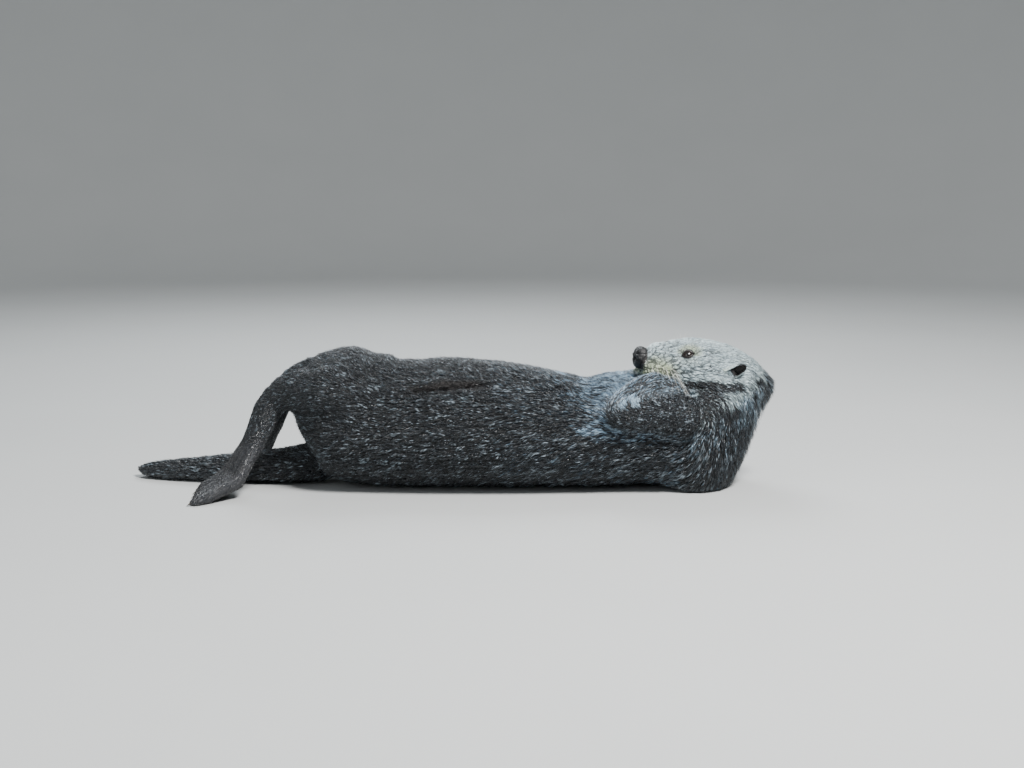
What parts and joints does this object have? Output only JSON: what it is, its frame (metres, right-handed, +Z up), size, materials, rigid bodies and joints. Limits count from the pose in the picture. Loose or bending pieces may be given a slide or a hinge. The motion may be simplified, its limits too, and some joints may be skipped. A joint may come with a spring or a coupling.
{
  "type": "sea otter",
  "caption": "Life-size still model of a sea otter lying on its back, head raised, forepaws folded on the chest, webbed hind feet drooping and tail laid out behind.",
  "frame": {"origin": "on the flat of the back under the middle of the trunk, where the animal rests on the floor", "axes": "+X along the body from tail to nape, +Z up through the belly, the animal's left side faces -Y"},
  "size_m": [0.8733, 0.2884, 0.198],
  "materials": {
    "pale_coat": "wet creamy white fur of the head, with darker wet locks below the cheeks",
    "body_coat": "wet grizzled grey-brown fur with a fine sparkle",
    "arm_coat": "short smooth wet fur",
    "foot_skin": "very short dark fur over webbed feet",
    "nose_leather": "wet black leather",
    "eye": "dark brown, wet and glossy"
  },
  "bodies": {
    "root": {"head": "pale_coat", "lower_jaw": "pale_coat", "neck": "pale_coat", "ear_left": "pale_coat", "ear_right": "pale_coat", "nose": "nose_leather", "eye_left": "eye", "eye_right": "eye", "chest": "body_coat", "belly": "body_coat", "rump": "body_coat", "upper_arm_left": "arm_coat", "upper_arm_right": "arm_coat", "forearm_left": "arm_coat", "forearm_right": "arm_coat", "paw_left": "arm_coat", "paw_right": "arm_coat", "thigh_left": "body_coat", "thigh_right": "body_coat", "shank_left": "body_coat", "shank_right": "body_coat", "flipper_left": "foot_skin", "flipper_right": "foot_skin", "tail_base": "body_coat", "tail_tip": "body_coat"}
  },
  "joints": []
}
